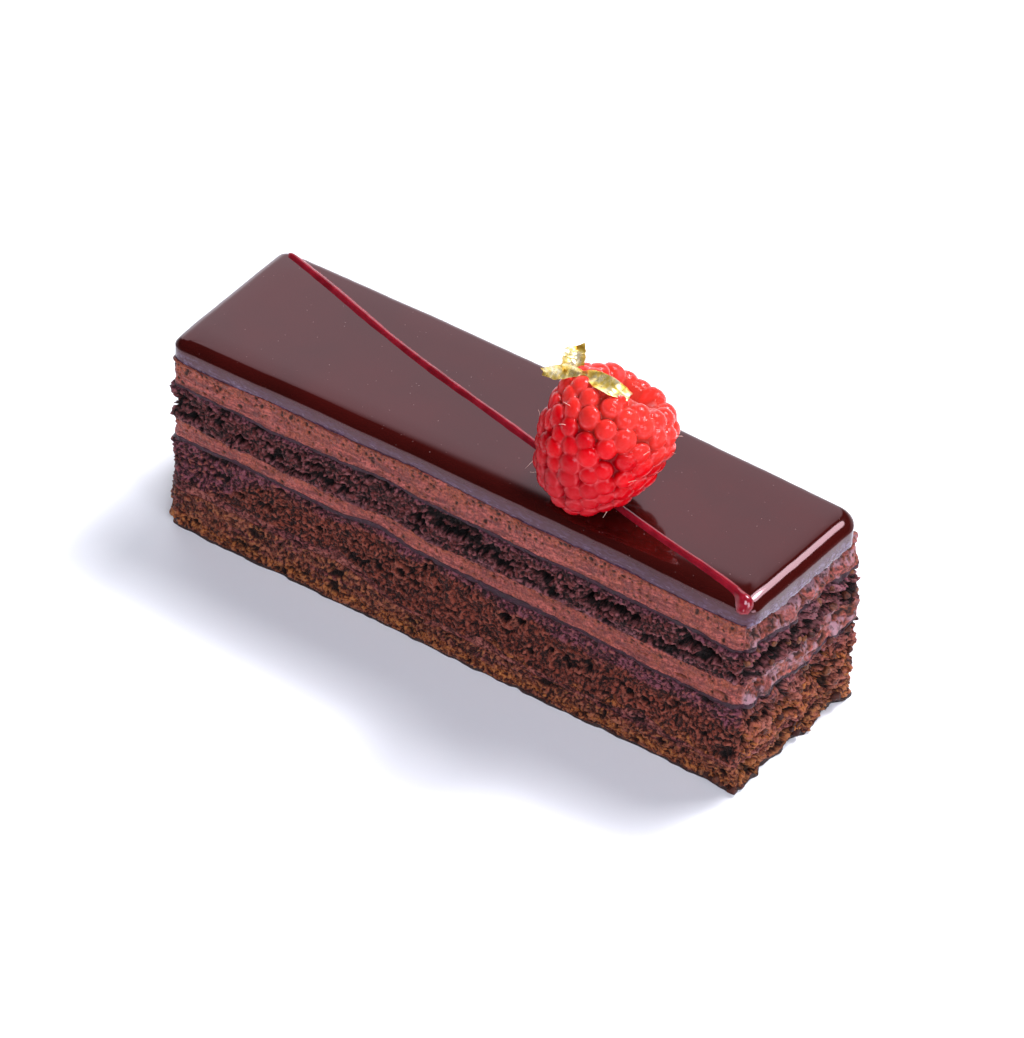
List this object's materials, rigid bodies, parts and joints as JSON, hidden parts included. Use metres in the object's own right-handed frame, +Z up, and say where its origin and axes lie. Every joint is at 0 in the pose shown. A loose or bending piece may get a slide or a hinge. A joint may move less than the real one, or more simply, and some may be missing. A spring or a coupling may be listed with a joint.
{
  "type": "entremet slice",
  "caption": "Bar-shaped slice of layered chocolate sponge and ganache under a dark mirror glaze, with a diagonal red coulis line, a raspberry and a scrap of gold leaf on top",
  "frame": {"origin": "on the surface the slice stands on, under the middle of the whole, berry included", "axes": "+X along the slice towards the short cut end with the end of the coulis line, +Y away from the long cut side, +Z up"},
  "size_m": [0.1034, 0.0312, 0.0585],
  "materials": {
    "chocolate": "thin dark chocolate coat under the slice",
    "sponge": "open-pored chocolate sponge, moist crumb",
    "ganache": "smooth pink-brown ganache, satin on the cut",
    "jam": "thin purple berry jam, moist",
    "glaze": "dark red-brown mirror glaze",
    "coulis": "clear red coulis, wet gloss",
    "raspberry": "fresh raspberry, satin translucent skin",
    "gold": "crumpled edible gold leaf"
  },
  "bodies": {
    "root": {"chocolate_base": "chocolate", "sponge_bottom": "sponge", "ganache_bottom": "ganache", "sponge_middle": "sponge", "jam_middle": "jam", "ganache_middle": "ganache", "sponge_top": "sponge", "jam_top": "jam", "ganache_top": "ganache", "glaze": "glaze", "coulis_line": "coulis", "raspberry": "raspberry", "gold_leaf_strip": "gold", "gold_leaf_flap": "gold"}
  },
  "joints": []
}
